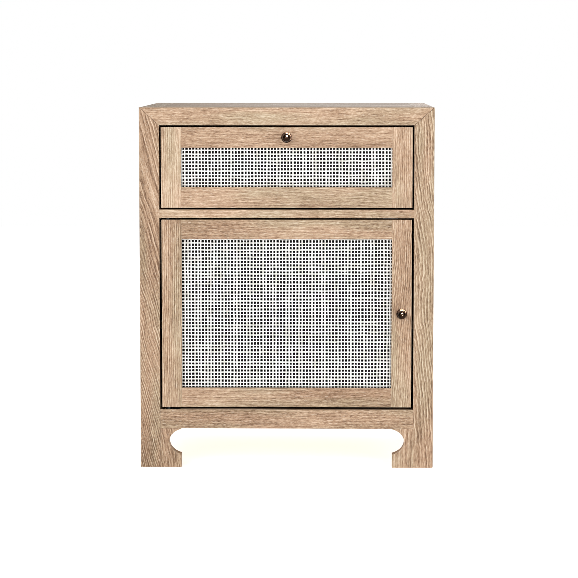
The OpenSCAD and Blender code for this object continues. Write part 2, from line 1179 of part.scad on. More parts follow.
// A hinge leaf with its underside at z
module leaf(z, grow) {
    block([pivot_x - leaf_w / 2 - grow, pivot_back - leaf_w / 2 - grow, z - grow],
          [pivot_x + leaf_l + grow, pivot_back + leaf_w / 2 + grow, z + leaf_t + grow]);
}

// The case's leaves, let into the rail above the door and the apron below it
module upper_leaf(grow = 0) {
    leaf(mid_rail_z, grow);
}

module lower_leaf(grow = 0) {
    leaf(apron_top - leaf_t, grow);
}

// One of the door's leaves
module door_leaf(z, grow = 0) {
    leaf(z, grow);
}

// The hinge pins, from the case's leaves through the door's. They stand in their leaves.
module hinge_pins(grow) {
    reach = door_bottom_gap + 2 * leaf_t + pin_past + grow;
    translate([pivot_x, pivot_back, apron_top - leaf_t])
        cylinder(d = pin_d + 2 * grow, h = reach);
    top_reach = door_top_gap + 2 * leaf_t + pin_past + grow;
    translate([pivot_x, pivot_back, mid_rail_z + leaf_t - top_reach])
        cylinder(d = pin_d + 2 * grow, h = top_reach);
}

module hinge_leaves_case() {
    color(black_steel)
        in_place() {
            upper_leaf();
            lower_leaf();
            hinge_pins(0);
        }
}

module hinge_leaves_door() {
    color(black_steel)
        in_place()
            difference() {
                union() {
                    door_leaf(door_low);
                    door_leaf(door_high - leaf_t);
                }
                hinge_pins(pin_play);
            }
}

// ---- Catch ------------------------------------------------------------------------

module magnet_block(grow = 0) {
    low = [catch_mid - magnet_size[0] / 2, catch_y,
           mid_rail_z - (catch_size[2] + magnet_size[2]) / 2];
    block(low - [grow, grow, grow], low + magnet_size + [grow, grow, grow]);
}

module catch_housing() {
    color(bronze)
        in_place()
            difference() {
                translate([catch_x, catch_y, mid_rail_z - catch_size[2]])
                    cube(catch_size);
                magnet_block(fit);
            }
}

module catch_magnet() {
    color(steel)
        in_place()
            magnet_block();
}

module catch_strike() {
    color(steel)
        in_place()
            block([catch_mid - strike_size[0] / 2, front_t, door_high - past - strike_size[1]],
                  [catch_mid + strike_size[0] / 2, front_t + strike_t, door_high - past]);
}

post_front_left();
post_front_right();
post_rear_left();
post_rear_right();
top_rail_front();
top_rail_rear();
top_rail_left();
top_rail_right();
top_panel();
side_panel_left();
side_panel_right();
apron_front();
apron_rear();
apron_left();
apron_right();
foot_bracket_front_left();
foot_bracket_front_right();
foot_brackets_left();
foot_brackets_right();
mid_rail();
divider_panel();
bottom_panel();
back_panel();
back_panel_screws();
shelf();
shelf_pins();
runner_blocks();
case_runner_left();
case_runner_right();
middle_runner_left();
middle_runner_right();
hinge_leaves_case();
catch_housing();
catch_magnet();
drawer_stile_left();
drawer_stile_right();
drawer_rail_top();
drawer_rail_bottom();
drawer_cane();
drawer_cane_backing();
drawer_box_front();
drawer_box_left();
drawer_box_right();
drawer_box_back();
drawer_bottom();
drawer_front_screws();
drawer_runner_left();
drawer_runner_right();
drawer_knob();
drawer_knob_screw();
door_stile_left();
door_stile_right();
door_rail_top();
door_rail_bottom();
door_cane();
door_cane_backing();
hinge_leaves_door();
door_knob();
door_knob_screw();
catch_strike();
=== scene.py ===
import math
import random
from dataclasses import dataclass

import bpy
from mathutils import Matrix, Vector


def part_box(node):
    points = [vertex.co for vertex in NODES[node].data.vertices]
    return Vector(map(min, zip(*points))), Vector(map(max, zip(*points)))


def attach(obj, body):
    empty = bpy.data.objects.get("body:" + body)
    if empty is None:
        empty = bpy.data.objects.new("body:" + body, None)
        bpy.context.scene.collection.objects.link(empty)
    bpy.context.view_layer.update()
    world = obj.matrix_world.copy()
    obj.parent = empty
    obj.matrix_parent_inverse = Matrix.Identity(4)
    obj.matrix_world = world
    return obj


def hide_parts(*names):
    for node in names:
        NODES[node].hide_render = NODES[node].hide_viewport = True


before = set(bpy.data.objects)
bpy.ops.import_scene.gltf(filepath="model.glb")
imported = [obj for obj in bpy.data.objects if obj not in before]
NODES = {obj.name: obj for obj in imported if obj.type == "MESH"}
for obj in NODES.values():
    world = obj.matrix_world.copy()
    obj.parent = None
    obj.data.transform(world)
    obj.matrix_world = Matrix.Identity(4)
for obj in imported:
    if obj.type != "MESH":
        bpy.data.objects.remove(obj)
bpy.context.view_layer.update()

# A nightstand with one drawer over one door, in limed oak with white woven cane fronts.
# The CAD frame gives every board and fitting. This script eases the boards' edges, gives each
# piece its material, weaves the cane, turns the knobs, and adds glue lines and screw heads.
# Lengths are in metres: x to the right, y to the back, z up, with the feet at z 0.

MM = 0.001

CASE_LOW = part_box("post_front_left")[0]
CASE_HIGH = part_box("post_rear_right")[1]
FRONT_Y = CASE_LOW.y


# ---- Node trees ----------------------------------------------------------------------


class Tree:
    """A node tree. Each call adds a node, and feeds it values or other nodes' outputs."""

    def __init__(self, tree):
        self.tree = tree

    def add(self, kind, *inputs, **settings):
        node = self.tree.nodes.new(kind)
        for name, value in settings.items():
            setattr(node, name, value)
        for socket, value in zip(node.inputs, inputs):
            self.feed(socket, value)
        return node

    def feed(self, socket, value):
        if isinstance(value, bpy.types.NodeSocket):
            self.tree.links.new(value, socket)
        else:
            socket.default_value = value

    def math(self, kind, *values):
        return self.add("ShaderNodeMath", *values, operation=kind).outputs[0]

    def split(self, vector):
        return list(self.add("ShaderNodeSeparateXYZ", vector).outputs)

    def largest(self, first, second, third):
        return self.math("MAXIMUM", self.math("MAXIMUM", first, second), third)

    def choose(self, factor, first, second):
        """The first value where the factor is 0, and the second where it is 1."""
        node = self.add("ShaderNodeMix")
        sockets = node.inputs[0], node.inputs[2], node.inputs[3]
        for socket, value in zip(sockets, (factor, first, second)):
            self.feed(socket, value)
        return node.outputs[0]


# ---- Camera and light --------------------------------------------------------------

# The front face shows at this scale in the 578 pixel wide picture
PIXELS_PER_METRE = 528.0
PICTURE_WIDTH = 578
SENSOR_WIDTH = 36.0

CAMERA_AWAY = 4.2          # in front of the front face
CAMERA_RIGHT = 0.078       # to the right of the middle
CAMERA_ABOVE_TOP = 0.086
CAMERA_AIM = Vector((0.0046, FRONT_Y, 0.389))
CAMERA_SHIFT = -0.04
PIXEL_FILTER = 0.6         # narrower than usual, for crisp gaps and weave

# How bright the studio's walls are to the camera, to the surfaces they light, and in reflections
STUDIO_SEEN = 1.0
STUDIO_LIGHT = 0.45
STUDIO_REFLECTED = 0.25

LAMP_AIM = Vector((0.0, 0.0, 0.4))
# Each lamp's name, its place, the side of its square in metres, and its watts
STUDIO_LAMPS = (
    ("key_light", (-1.6, -3.6, 1.7), 2.2, 86),
    ("fill_light", (2.3, -3.0, 1.2), 2.0, 51),
    ("back_light", (0.6, 3.4, 2.2), 2.0, 55),
)
GLINT_LAMPS = (
    ("overhead_glint", (0.45, -1.3, 2.2), 1.7, 1700),
    ("front_glint", (0.9, -3.4, 0.55), 0.8, 400),
)


def add_camera():
    data = bpy.data.cameras.new("camera")
    data.sensor_width = SENSOR_WIDTH
    data.lens = CAMERA_AWAY * PIXELS_PER_METRE / PICTURE_WIDTH * SENSOR_WIDTH
    data.shift_y = CAMERA_SHIFT
    data.clip_end = 100.0
    camera = bpy.data.objects.new("camera", data)
    camera.location = (CAMERA_RIGHT, FRONT_Y - CAMERA_AWAY, CASE_HIGH.z + CAMERA_ABOVE_TOP)
    camera.rotation_euler = (CAMERA_AIM - camera.location).to_track_quat("-Z", "Y").to_euler()
    bpy.context.scene.collection.objects.link(camera)
    bpy.context.scene.camera = camera


def add_softbox(name, place, size, watts):
    """A square area light, turned towards the object."""
    data = bpy.data.lights.new(name, "AREA")
    data.shape = "SQUARE"
    data.size = size
    data.energy = watts
    light = bpy.data.objects.new(name, data)
    light.location = place
    light.rotation_euler = (LAMP_AIM - Vector(place)).to_track_quat("-Z", "Y").to_euler()
    bpy.context.scene.collection.objects.link(light)
    return light


def add_lights():
    for lamp in STUDIO_LAMPS:
        add_softbox(*lamp)
    world = bpy.data.worlds.new("studio")
    world.use_nodes = True
    background = world.node_tree.nodes["Background"]
    background.inputs["Color"].default_value = (1.0, 1.0, 1.0, 1.0)
    tree = Tree(world.node_tree)
    rays = tree.add("ShaderNodeLightPath").outputs
    strength = tree.choose(rays["Is Glossy Ray"], STUDIO_LIGHT, STUDIO_REFLECTED)
    strength = tree.choose(rays["Is Camera Ray"], strength, STUDIO_SEEN)
    tree.feed(background.inputs["Strength"], strength)
    bpy.context.scene.world = world
    bpy.context.scene.view_settings.view_transform = "Standard"
    bpy.context.scene.cycles.filter_width = PIXEL_FILTER


def add_glints(pieces):
    """Two lamps that only these polished pieces reflect."""
    receivers = bpy.data.collections.new("polished")
    for piece in pieces:
        receivers.objects.link(piece)
    for lamp in GLINT_LAMPS:
        add_softbox(*lamp).light_linking.receiver_collection = receivers


# ---- Materials -----------------------------------------------------------------------


# The largest part of a face's normal, where an arris starts to show and where it shows fully
ARRIS_STARTS = 0.985
ARRIS_FULL = 0.80


class Shade(Tree):
    """A material's node tree, round one Principled shader."""

    def __init__(self, name):
        self.material = bpy.data.materials.new(name)
        self.material.use_nodes = True
        super().__init__(self.material.node_tree)
        self.tree.nodes.clear()
        self.shader = self.add("ShaderNodeBsdfPrincipled")
        output = self.add("ShaderNodeOutputMaterial")
        self.feed(output.inputs["Surface"], self.shader.outputs["BSDF"])
        coordinates = self.add("ShaderNodeTexCoord")
        self.place = coordinates.outputs["Object"]
        self.normal = coordinates.outputs["Normal"]

    def set(self, **values):
        """Feeds the shader's sockets, with underscores for the spaces in their names."""
        for name, value in values.items():
            self.feed(self.shader.inputs[name.replace("_", " ")], value)

    def plus(self, *terms):
        total = terms[0]
        for term in terms[1:]:
            total = self.math("ADD", total, term)
        return total

    def times(self, first, second):
        return self.math("MULTIPLY", first, second)

    def about_half(self, value, share):
        """A value that lies about 0.5, as a swing about 0 of that share."""
        return self.times(self.math("SUBTRACT", value, 0.5), share)

    def spread(self, value, low, high, to_low=0.0, to_high=1.0):
        """to_low where the value is low, to_high where it is high, and in proportion between."""
        return self.add("ShaderNodeMapRange", value, low, high, to_low, to_high).outputs[0]

    def join(self, x, y, z):
        return self.add("ShaderNodeCombineXYZ", x, y, z).outputs[0]

    def stretch(self, parts, scales, shift):
        """The three parts as one vector, each at its own scale and moved by its own shift."""
        shifts = (shift, shift * 1.7, shift * 2.3)
        return self.join(
            *(self.math("MULTIPLY_ADD", *terms) for terms in zip(parts, scales, shifts))
        )

    def noise(self, vector, scale=1.0, detail=2.0, roughness=0.5):
        node = self.add("ShaderNodeTexNoise")
        self.feed(node.inputs["Vector"], vector)
        node.inputs["Scale"].default_value = scale
        node.inputs["Detail"].default_value = detail
        node.inputs["Roughness"].default_value = roughness
        return node.outputs[0]

    def marks(self, axis, along, across, shift, detail, roughness):
        """Noise drawn out along an axis. along and across are its scales."""
        scales = [along if letter == axis else across for letter in "xyz"]
        parts = self.split(self.place)
        return self.noise(self.stretch(parts, scales, shift), detail=detail, roughness=roughness)

    def ramp(self, factor, *stops):
        """Each stop is a place from 0 to 1 and a colour of three parts."""
        node = self.add("ShaderNodeValToRGB")
        elements = node.color_ramp.elements
        while len(elements) < len(stops):
            elements.new(0.5)
        for element, (where, colour) in zip(elements, stops):
            element.position = where
            element.color = (*colour, 1.0)
        self.feed(node.inputs[0], factor)
        return node.outputs[0]

    def mix(self, factor, first, second, kind="MIX"):
        node = self.add("ShaderNodeMix", data_type="RGBA", blend_type=kind)
        self.feed(node.inputs[0], factor)
        for socket, colour in zip((node.inputs[6], node.inputs[7]), (first, second)):
            self.feed(socket, (*colour, 1.0) if isinstance(colour, tuple) else colour)
        return node.outputs[2]

    def bump(self, height, distance, strength=1.0):
        node = self.add("ShaderNodeBump")
        node.inputs["Strength"].default_value = strength
        node.inputs["Distance"].default_value = distance
        self.feed(node.inputs["Height"], height)
        self.set(Normal=node.outputs[0])

    def arris(self):
        """1 on an eased edge of a square board and 0 on its flat faces."""
        flat = [self.math("ABSOLUTE", part) for part in self.split(self.normal)]
        return self.spread(self.largest(*flat), ARRIS_STARTS, ARRIS_FULL)


# Each timber's tones from dark to pale and the chalk in its pores, how strongly its streaks,
# fibres and pores show, and how deep its marks are
OAK = {
    "tones": (
        (0.125, 0.068, 0.036), (0.262, 0.168, 0.104), (0.385, 0.268, 0.178), (0.570, 0.450, 0.335)
    ),
    "chalk": (0.62, 0.52, 0.41),
    "streak": 1.6,
    "fibre": 1.1,
    "pores": 0.55,
    "relief": 0.20 * MM,
}
BIRCH = {
    "tones": (
        (0.380, 0.240, 0.140), (0.470, 0.320, 0.200), (0.550, 0.395, 0.260), (0.620, 0.475, 0.335)
    ),
    "chalk": (0.60, 0.47, 0.34),
    "streak": 0.8,
    "fibre": 0.5,
    "pores": 0.25,
    "relief": 0.06 * MM,
}
TONE_STOPS = (0.05, 0.34, 0.62, 0.98)
MIDDLE_TONE = 0.56           # where a plain board lies on those stops
PINKISH = (1.04, 0.985, 0.95)
GREENISH = (0.965, 1.01, 0.975)

# The scale of each pattern in wood: along the grain, across the face and into the board. Each
# board's patterns are moved by its own shift, and each pattern by a little more than the last
LONG_WAVES = (7, 15, 15)
SHORT_WAVES = (52, 60, 60)
RING_PATCHES = (13, 110, 110)
STREAKS = (30, 430, 430)
FLECKS = (190, 480, 480)
FIBRES = (130, 1000, 1000)
PORES = (150, 1700, 1700)
SLOW_TONES = (4, 15, 15)
SLOW_HUES = (5, 26, 26)

LONG_WAVE_REACH = 12 * MM    # how far the waves carry the grain sideways
SHORT_WAVE_REACH = 3 * MM
LATE_WOOD_SHARE = 0.62       # how dark late wood is, as a share of how pale early wood is
SLOW_SHARE = 0.60            # how much the tone drifts over a board
EDGE_WEAR_AND_HIGHLIGHT_SHARE = 0.45            # how far an arris is paled towards the palest tone: partly rubbed wear, partly a painted highlight on the eased edge

PATTERN_SHIFT = 40           # the furthest that a board's patterns are moved, in their scale
PITH_ASIDE = (0.05, 0.11)    # how far to one side of a board's middle its pith may lie
PITH_BEYOND = (0.02, 0.06)   # and how far from the middle along its inward axis

PLY_LAYER = 1.4 * MM         # half the way from one glue layer to the next
PLY_GLUE = 0.30 * MM         # half a glue layer, where its dark colour ends
PLY_GLUE_CORE = 0.12 * MM    # and where it is full
PLY_GLUE_SHARE = 0.8
PLY_GLUE_BROWN = (0.20, 0.115, 0.06)


@dataclass
class Cut:
    """How a board is cut from its tree."""
    axes: str                  # the axes along the grain, across the face and into the board
    tone: float = 0.0          # above 0 is paler than the rest, and below 0 darker
    slant: float = 0.0         # degrees that the grain leans across the face
    ring_gap: float = 5.5 * MM
    ring: float = 0.16         # how strongly the growth rings show
    fleck: float = 0.5         # how mottled the face is
    wave: float = 1.0          # how wavy the grain is


def wavy_grain(shade, parts, cut, shift):
    """How far across the board the grain lies, with its lean and its waves."""
    along, across, _ = parts
    long_wave = shade.noise(shade.stretch(parts, LONG_WAVES, shift), detail=1)
    short_wave = shade.noise(shade.stretch(parts, SHORT_WAVES, shift + 5), detail=1)
    return shade.plus(
        across,
        shade.times(along, -math.tan(math.radians(cut.slant))),
        shade.about_half(long_wave, LONG_WAVE_REACH * cut.wave),
        shade.about_half(short_wave, SHORT_WAVE_REACH * cut.wave),
    )


def growth_rings(shade, wavy, inward, pith_across, pith_inward, ring_gap):
    """Where the early wood and the late wood lie, each from 0 to 1, in rings round the pith."""
    from_pith = shade.join(
        shade.math("SUBTRACT", wavy, pith_across),
        shade.math("SUBTRACT", inward, pith_inward),
        0.0,
    )
    length = shade.add("ShaderNodeVectorMath", from_pith, operation="LENGTH").outputs["Value"]
    ring = shade.math("FRACT", shade.math("DIVIDE", length, ring_gap))
    early_wood = shade.math("MAXIMUM", shade.spread(ring, 0.34, 0.06), shade.spread(ring, 0.88, 0.98))
    late_wood = shade.times(shade.spread(ring, 0.36, 0.80), shade.spread(ring, 0.92, 0.84))
    return early_wood, late_wood


def plied_edge(shade, thin_axis, inward):
    """How strongly a dark glue layer shows: only on the faces that cut through the layers."""
    facing = shade.math("ABSOLUTE", shade.split(shade.normal)[thin_axis])
    on_edge = shade.spread(facing, 0.6, 0.3)
    layer = shade.math("PINGPONG", inward, PLY_LAYER)
    glue = shade.spread(layer, PLY_GLUE, PLY_GLUE_CORE)
    return shade.times(on_edge, shade.times(glue, PLY_GLUE_SHARE))


def add_timber(name, timber, box, cut, seed, plied):
    """Wood for one board in that box. plied shows a plywood's layers on its edges."""
    shade = Shade(name)
    order = ["xyz".index(axis) for axis in cut.axes]
    middle = (box[0] + box[1]) / 2
    place = shade.split(shade.place)
    parts = [shade.math("SUBTRACT", place[i], middle[i]) for i in order]
    along, _, inward = parts
    luck = random.Random(seed)
    shift = luck.uniform(-PATTERN_SHIFT, PATTERN_SHIFT)
    pith_across = luck.choice((-1, 1)) * luck.uniform(*PITH_ASIDE)
    pith_inward = luck.uniform(*PITH_BEYOND)

    wavy = wavy_grain(shade, parts, cut, shift)
    grain = (along, wavy, inward)
    early_wood, late_wood = growth_rings(
        shade, wavy, inward, pith_across, pith_inward, cut.ring_gap
    )
    ring_patches = shade.noise(shade.stretch(grain, RING_PATCHES, shift + 11))
    ring_depth = shade.spread(ring_patches, 0.34, 0.62, 0.25, 1.0)
    ring_swing = shade.plus(
        shade.times(early_wood, cut.ring), shade.times(late_wood, -cut.ring * LATE_WOOD_SHARE)
    )

    streaks = shade.noise(shade.stretch(grain, STREAKS, shift + 17), detail=4, roughness=0.7)
    flecks = shade.noise(shade.stretch(grain, FLECKS, shift + 23), detail=3, roughness=0.75)
    fibres = shade.noise(shade.stretch(grain, FIBRES, shift + 27), detail=3, roughness=0.65)
    pores = shade.noise(shade.stretch(grain, PORES, shift + 29), detail=1)
    slow = shade.noise(shade.stretch(parts, SLOW_TONES, shift + 31), detail=1)
    tone = shade.plus(
        MIDDLE_TONE + cut.tone,
        shade.times(ring_swing, ring_depth),
        shade.about_half(streaks, timber["streak"]),
        shade.about_half(flecks, cut.fleck),
        shade.about_half(fibres, timber["fibre"]),
        shade.about_half(slow, SLOW_SHARE),
    )
    wood = shade.ramp(tone, *zip(TONE_STOPS, timber["tones"]))

    hue = shade.noise(shade.stretch(parts, SLOW_HUES, shift + 37), detail=1)
    tint = shade.ramp(hue, (0.40, GREENISH), (0.60, PINKISH))
    tinted = shade.mix(1.0, wood, tint, kind="MULTIPLY")
    open_pore = shade.times(
        shade.spread(pores, 0.57, 0.64), shade.spread(early_wood, 0.0, 1.0, 0.3, 1.0)
    )
    limed = shade.mix(shade.times(open_pore, timber["pores"]), tinted, timber["chalk"])
    if plied:
        limed = shade.mix(plied_edge(shade, order[2], inward), limed, PLY_GLUE_BROWN)
    # Paler arrises: partly wear, partly a painted highlight along each eased edge
    worn_and_highlit = shade.mix(shade.times(shade.arris(), EDGE_WEAR_AND_HIGHLIGHT_SHARE), limed, timber["tones"][-1])
    shade.set(
        Base_Color=worn_and_highlit,
        Roughness=shade.spread(tone, 0.2, 0.9, 0.68, 0.54),
        Specular_IOR_Level=0.3,
    )
    relief = shade.plus(
        shade.times(tone, 0.6), shade.times(open_pore, -0.6), shade.times(fibres, 0.3)
    )
    shade.bump(relief, timber["relief"], strength=0.7)
    return shade.material


# The colours of the other materials, from dark to pale
CANE_WHITES = ((0.62, 0.60, 0.55), (0.78, 0.77, 0.745), (0.86, 0.86, 0.845))
# The backing's blacks are partly painted shade, for the dark space behind the cane
BACKING_AND_SHADE_BLACKS = ((0.002, 0.002, 0.002), (0.009, 0.0085, 0.008))
# The bronze is partly a dark bronze finish and partly painted shade: darkened so that it reflects little
# but the glint lamps
BRONZE_AND_SHADE_BROWNS = ((0.013, 0.007, 0.004), (0.038, 0.021, 0.014))
ZINC_GREYS = ((0.42, 0.42, 0.43), (0.66, 0.66, 0.67))
# The coat's blacks are partly painted shade, for the steel seen in the gaps
COAT_AND_SHADE_BLACKS = ((0.010, 0.010, 0.011), (0.026, 0.026, 0.027))
RUBBED_STEEL = (0.16, 0.16, 0.165)
PLASTIC_BROWNS = ((0.050, 0.036, 0.028), (0.085, 0.064, 0.050))
GLUE_BROWNS = ((0.045, 0.022, 0.010), (0.12, 0.065, 0.034))
FLOOR_WHITES = ((0.91, 0.91, 0.91), (0.94, 0.94, 0.94))
FLOOR_GLOW = 0.62            # so that the floor meets the backdrop without an edge


def add_cane_paint(name, axis):
    """White paint on split cane, with the cane's fibres along the strand."""
    shade = Shade(name)
    fibres = shade.marks(axis, 60, 1400, shift=3.0, detail=3, roughness=0.6)
    patches = shade.noise(shade.place, scale=60, detail=2)
    tone = shade.plus(shade.about_half(fibres, 0.9), patches)
    shade.set(
        Base_Color=shade.ramp(tone, *zip((0.25, 0.45, 0.7), CANE_WHITES)),
        Roughness=shade.spread(fibres, 0.3, 0.7, 0.42, 0.62),
        Specular_IOR_Level=0.4,
    )
    shade.bump(fibres, 0.10 * MM, strength=0.6)
    return shade.material


def add_black_board(name):
    """Matt black board with pressed fibres. Its black is partly a guessed board colour and partly
    painted shade, for the dark space seen through the cane.
    """
    shade = Shade(name)
    fibres = shade.marks("x", 300, 900, shift=1.0, detail=4, roughness=0.7)
    clouds = shade.noise(shade.place, scale=30, detail=3)
    tone = shade.plus(shade.about_half(clouds, 0.7), fibres)
    shade.set(
        Base_Color=shade.ramp(tone, *zip((0.3, 0.8), BACKING_AND_SHADE_BLACKS)),
        Roughness=shade.spread(fibres, 0.3, 0.7, 0.85, 0.95),
        Specular_IOR_Level=0.06,
    )
    shade.bump(fibres, 0.10 * MM, strength=0.5)
    return shade.material


def add_metal(name, colours, roughness, axis, scratches):
    """Metal with fine marks along an axis, scratches deep, and a slow change of tone. roughness
    is that of its smoothest places."""
    shade = Shade(name)
    marks = shade.marks(axis, 110, 2600, shift=2.0, detail=3, roughness=0.65)
    clouds = shade.noise(shade.place, scale=90, detail=3)
    tone = shade.plus(shade.about_half(marks, 0.5), clouds)
    shade.set(
        Base_Color=shade.ramp(tone, *zip((0.3, 0.72), colours)),
        Metallic=1.0,
        Roughness=shade.spread(tone, 0.25, 0.75, roughness, roughness * 1.7),
    )
    shade.bump(marks, scratches, strength=0.5)
    return shade.material


def add_black_steel(name, axis):
    """Rolled steel under a thin black coat, rubbed brighter at its edges. The black is partly a guessed
    coat and partly painted shade, so these parts stay dark in the gaps they show through.
    """
    shade = Shade(name)
    marks = shade.marks(axis, 60, 1500, shift=4.0, detail=3, roughness=0.6)
    clouds = shade.noise(shade.place, scale=120, detail=3)
    tone = shade.plus(shade.about_half(marks, 0.6), clouds)
    coat = shade.ramp(tone, *zip((0.3, 0.7), COAT_AND_SHADE_BLACKS))
    shade.set(
        Base_Color=shade.mix(shade.times(shade.arris(), 0.5), coat, RUBBED_STEEL),
        Metallic=0.35,
        Roughness=shade.spread(marks, 0.3, 0.7, 0.38, 0.52),
    )
    shade.bump(marks, 0.03 * MM, strength=0.5)
    return shade.material


def add_moulded_plastic(name):
    """Dark brown moulded plastic with a fine spark texture."""
    shade = Shade(name)
    sparks = shade.noise(shade.place, scale=1800, detail=2)
    clouds = shade.noise(shade.place, scale=70, detail=2)
    shade.set(
        Base_Color=shade.ramp(clouds, *zip((0.3, 0.7), PLASTIC_BROWNS)),
        Roughness=shade.spread(sparks, 0.3, 0.7, 0.42, 0.58),
    )
    shade.bump(sparks, 0.05 * MM, strength=0.6)
    return shade.material


def add_dried_glue(name):
    """Dark brown glue, matt and a little uneven."""
    shade = Shade(name)
    clouds = shade.noise(shade.place, scale=400, detail=3)
    shade.set(
        Base_Color=shade.ramp(clouds, *zip((0.35, 0.7), GLUE_BROWNS)),
        Roughness=shade.spread(clouds, 0.3, 0.7, 0.7, 0.9),
    )
    shade.bump(clouds, 0.05 * MM)
    return shade.material


def add_pale_floor(name):
    """Smooth pale studio floor."""
    shade = Shade(name)
    clouds = shade.noise(shade.place, scale=1.3, detail=3)
    shade.set(
        Base_Color=shade.ramp(clouds, *zip((0.3, 0.7), FLOOR_WHITES)),
        Roughness=0.8,
        Specular_IOR_Level=0.1,
        Emission_Color=(1.0, 1.0, 1.0, 1.0),
        Emission_Strength=FLOOR_GLOW,
    )
    return shade.material


def dress(obj, material):
    """Gives a piece that material all over."""
    obj.data.materials.clear()
    obj.data.materials.append(material)
    return obj


# ---- Eased edges ----------------------------------------------------------------------

EASE_SEGMENTS = 3
FLAT_PLANE_TOLERANCE = 0.05 * MM
WELD_GAP = 0.002 * MM
FLAT_ANGLE = 0.5             # degrees. Faces that meet at less than this become one
SHARP_ANGLE = 30             # degrees. Only edges sharper than this are eased
STRAIGHT = 0.999             # the least part along one axis of an edge that isn't diagonal

# The radii of each group's edges: outer, inner and seam, as ease_weights takes them
CASE_RADII = (2.2 * MM, 0.4 * MM, 0.6 * MM)
PANEL_RADII = (0.6 * MM, 0.20 * MM, 0.20 * MM)
BOX_RADII = (0.9 * MM, 0.12 * MM, 0.12 * MM)
CATCH_RADII = (1.0 * MM, 0.2 * MM, 0.2 * MM)


def ease_weights(name, box, radii):
    """A node tree that writes each edge's bevel weight as a share of the largest radius, and
    that radius. An edge on two faces of the box takes the outer radius. An edge on one face
    takes the inner radius, or the seam radius if it runs diagonally."""
    outer, inner, seam = radii
    most = max(radii)
    group = bpy.data.node_groups.new(name, "GeometryNodeTree")
    for way in ("INPUT", "OUTPUT"):
        group.interface.new_socket("Geometry", in_out=way, socket_type="NodeSocketGeometry")
    geometry = Tree(group)
    position = geometry.add("GeometryNodeInputPosition").outputs[0]
    on_planes = None
    for part, pair in zip(geometry.split(position), zip(*box)):
        for plane in pair:
            distance = geometry.math("ABSOLUTE", geometry.math("SUBTRACT", part, plane))
            near = geometry.math("LESS_THAN", distance, FLAT_PLANE_TOLERANCE)
            on_planes = near if on_planes is None else geometry.math("ADD", on_planes, near)

    ends = geometry.add("GeometryNodeInputMeshEdgeVertices").outputs
    run = geometry.add(
        "ShaderNodeVectorMath", ends["Position 1"], ends["Position 2"], operation="SUBTRACT"
    ).outputs[0]
    unit = geometry.add("ShaderNodeVectorMath", run, operation="NORMALIZE").outputs[0]
    longest = geometry.largest(*(geometry.math("ABSOLUTE", part) for part in geometry.split(unit)))
    diagonal = geometry.math("LESS_THAN", longest, STRAIGHT)

    on_two = geometry.math("GREATER_THAN", on_planes, 1.5)
    on_one = geometry.math("SUBTRACT", geometry.math("GREATER_THAN", on_planes, 0.5), on_two)
    single = geometry.math("MULTIPLY_ADD", diagonal, (seam - inner) / most, inner / most)
    single = geometry.math("MULTIPLY", on_one, single)
    weight = geometry.math("MULTIPLY_ADD", on_two, outer / most, single)

    angle = geometry.add("GeometryNodeInputMeshEdgeAngle").outputs["Unsigned Angle"]
    sharp = geometry.math("GREATER_THAN", angle, math.radians(SHARP_ANGLE))
    store = geometry.add("GeometryNodeStoreNamedAttribute", data_type="FLOAT", domain="EDGE")
    geometry.feed(store.inputs["Geometry"], geometry.add("NodeGroupInput").outputs[0])
    store.inputs["Name"].default_value = "bevel_weight_edge"
    geometry.feed(store.inputs["Value"], geometry.math("MULTIPLY", sharp, weight))

    plain = geometry.add("GeometryNodeRemoveAttribute", store.outputs[0])
    plain.inputs["Name"].default_value = "custom_normal"
    smooth = geometry.add("GeometryNodeSetShadeSmooth", plain.outputs[0])
    geometry.add("NodeGroupOutput", smooth.outputs[0])
    return group, most


def ease(node, tree, radius):
    """Rounds a CAD node's edges, with modifiers. tree and radius come from ease_weights."""
    obj = NODES[node]
    weld = obj.modifiers.new("weld", "WELD")
    weld.merge_threshold = WELD_GAP
    flatten = obj.modifiers.new("flatten", "DECIMATE")
    flatten.decimate_type = "DISSOLVE"
    flatten.angle_limit = math.radians(FLAT_ANGLE)
    weights = obj.modifiers.new("weights", "NODES")
    weights.node_group = tree
    bevel = obj.modifiers.new("ease", "BEVEL")
    bevel.limit_method = "WEIGHT"
    bevel.width = radius
    bevel.segments = EASE_SEGMENTS
    bevel.use_clamp_overlap = False
    bevel.harden_normals = True


# ---- Boards ------------------------------------------------------------------------------


def around(names):
    """The box round those nodes. Its faces are the ones seen from outside."""
    boxes = [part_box(name) for name in names]
    lowest = Vector(min(box[0][i] for box in boxes) for i in range(3))
    highest = Vector(max(box[1][i] for box in boxes) for i in range(3))
    return lowest, highest


